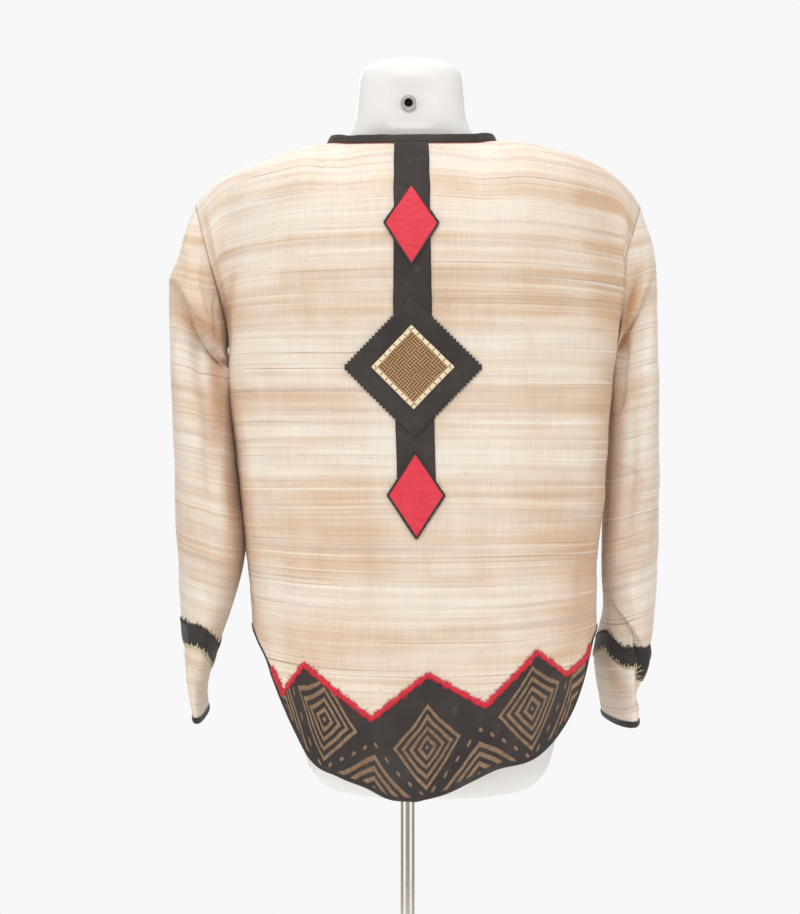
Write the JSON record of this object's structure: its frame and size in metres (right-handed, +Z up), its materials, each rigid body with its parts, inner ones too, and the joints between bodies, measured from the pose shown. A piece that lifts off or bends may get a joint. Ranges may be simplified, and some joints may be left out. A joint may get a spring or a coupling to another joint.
{
  "type": "blazer on a dress form with a stand",
  "caption": "Boxy collarless slub-silk jacket with bound edges, shirt-tail hem and appliqued back, worn by a limbless dress form on a pole stand.",
  "frame": {"origin": "the middle of the base's flat underside, on the floor", "axes": "+Z up; the wearer faces -Y and the wearer's left is +X"},
  "size_m": [0.6041, 0.36, 1.5875],
  "materials": {
    "slub_silk": "slub weave with uneven cream, tan and mauve-grey weft streaks, low sheen",
    "black_binding": "plain cotton binding",
    "black_cotton": "matt plain weave, the hem band printed in tan",
    "tan_patch": "printed cotton",
    "red_cloth": "plain weave",
    "white_form": "smooth satin white",
    "bright_steel": "polished"
  },
  "bodies": {
    "root": {"back": "slub_silk", "front_left": "slub_silk", "front_right": "slub_silk", "sleeve_left": "slub_silk", "sleeve_right": "slub_silk", "neck_binding": "black_binding", "front_binding_left": "black_binding", "front_binding_right": "black_binding", "hem_binding_back": "black_binding", "hem_binding_front_left": "black_binding", "hem_binding_front_right": "black_binding", "cuff_binding_left": "black_binding", "cuff_binding_right": "black_binding", "hem_band": "black_cotton", "back_strip": "black_cotton", "medallion": "black_cotton", "cuff_band_left": "black_cotton", "cuff_band_right": "black_cotton", "patch": "tan_patch", "lozenge_upper": "red_cloth", "lozenge_lower": "red_cloth", "form": "white_form", "neck_socket": "bright_steel", "pole": "bright_steel", "base": "bright_steel"}
  },
  "joints": []
}
